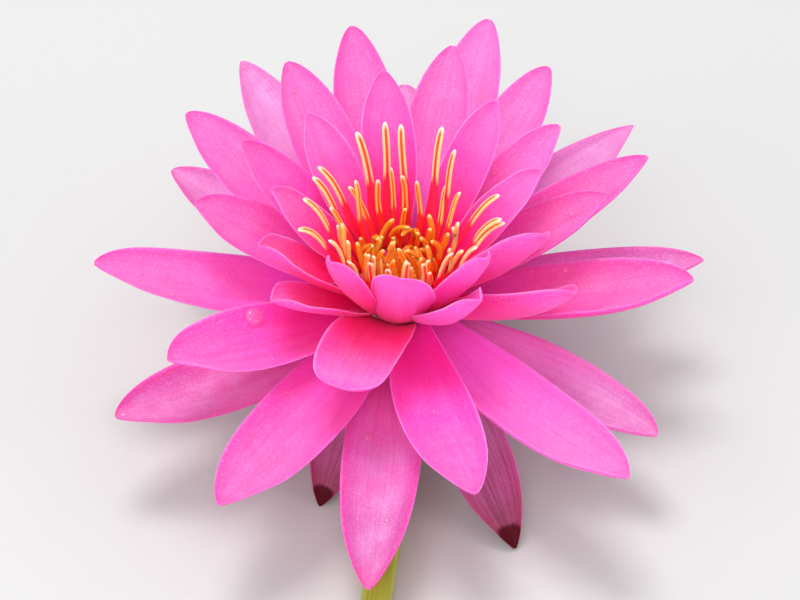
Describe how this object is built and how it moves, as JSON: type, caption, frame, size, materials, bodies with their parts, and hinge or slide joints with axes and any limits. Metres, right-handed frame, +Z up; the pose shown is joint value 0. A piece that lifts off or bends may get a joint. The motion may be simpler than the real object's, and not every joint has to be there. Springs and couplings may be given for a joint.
{
  "type": "water lily flower",
  "caption": "Open water lily flower with many pointed cupped petals, a ring of upright stamens round a stigma dish, drooping sepals and a short bent stem.",
  "frame": {"origin": "middle of the box round the flower, on the surface it rests on", "axes": "+Z up, -Y towards the cut end of the stem, +X to the right as seen from the stem's side"},
  "size_m": [0.14, 0.1593, 0.0704],
  "materials": {
    "sepal": "matte plant skin, dusky pink with maroon tips",
    "petal_pale": "satin plant skin, pale pink with a lilac bloom",
    "petal_pink": "satin plant skin, hot pink deepening to red magenta at the foot",
    "stamen": "smooth, orange with pale gold anthers",
    "pistil": "moist, golden orange",
    "stem": "smooth, yellow green",
    "water_bead": "clear water"
  },
  "bodies": {
    "root": {"sepal_front_right": "sepal", "sepal_front_left": "sepal", "sepal_back_left": "sepal", "sepal_back_right": "sepal", "petal_01": "petal_pale", "petal_02": "petal_pale", "petal_03": "petal_pale", "petal_04": "petal_pale", "petal_05": "petal_pale", "petal_06": "petal_pale", "petal_07": "petal_pale", "petal_08": "petal_pale", "petal_09": "petal_pink", "petal_10": "petal_pink", "petal_11": "petal_pink", "petal_12": "petal_pink", "petal_13": "petal_pink", "petal_14": "petal_pink", "petal_15": "petal_pink", "petal_16": "petal_pink", "petal_17": "petal_pink", "petal_18": "petal_pink", "petal_19": "petal_pink", "petal_20": "petal_pink", "petal_21": "petal_pink", "petal_22": "petal_pink", "petal_23": "petal_pink", "petal_24": "petal_pink", "petal_25": "petal_pink", "petal_26": "petal_pink", "petal_27": "petal_pink", "petal_28": "petal_pink", "petal_29": "petal_pink", "petal_30": "petal_pink", "petal_31": "petal_pink", "petal_32": "petal_pink", "petal_33": "petal_pink", "petal_34": "petal_pink", "petal_35": "petal_pink", "petal_36": "petal_pink", "petal_37": "petal_pink", "petal_38": "petal_pink", "petal_39": "petal_pink", "stamens_outer": "stamen", "stamens_middle": "stamen", "stamens_inner": "stamen", "stamens_innermost": "stamen", "ovary": "pistil", "stigma_disc": "pistil", "stem": "stem"}
  },
  "joints": []
}
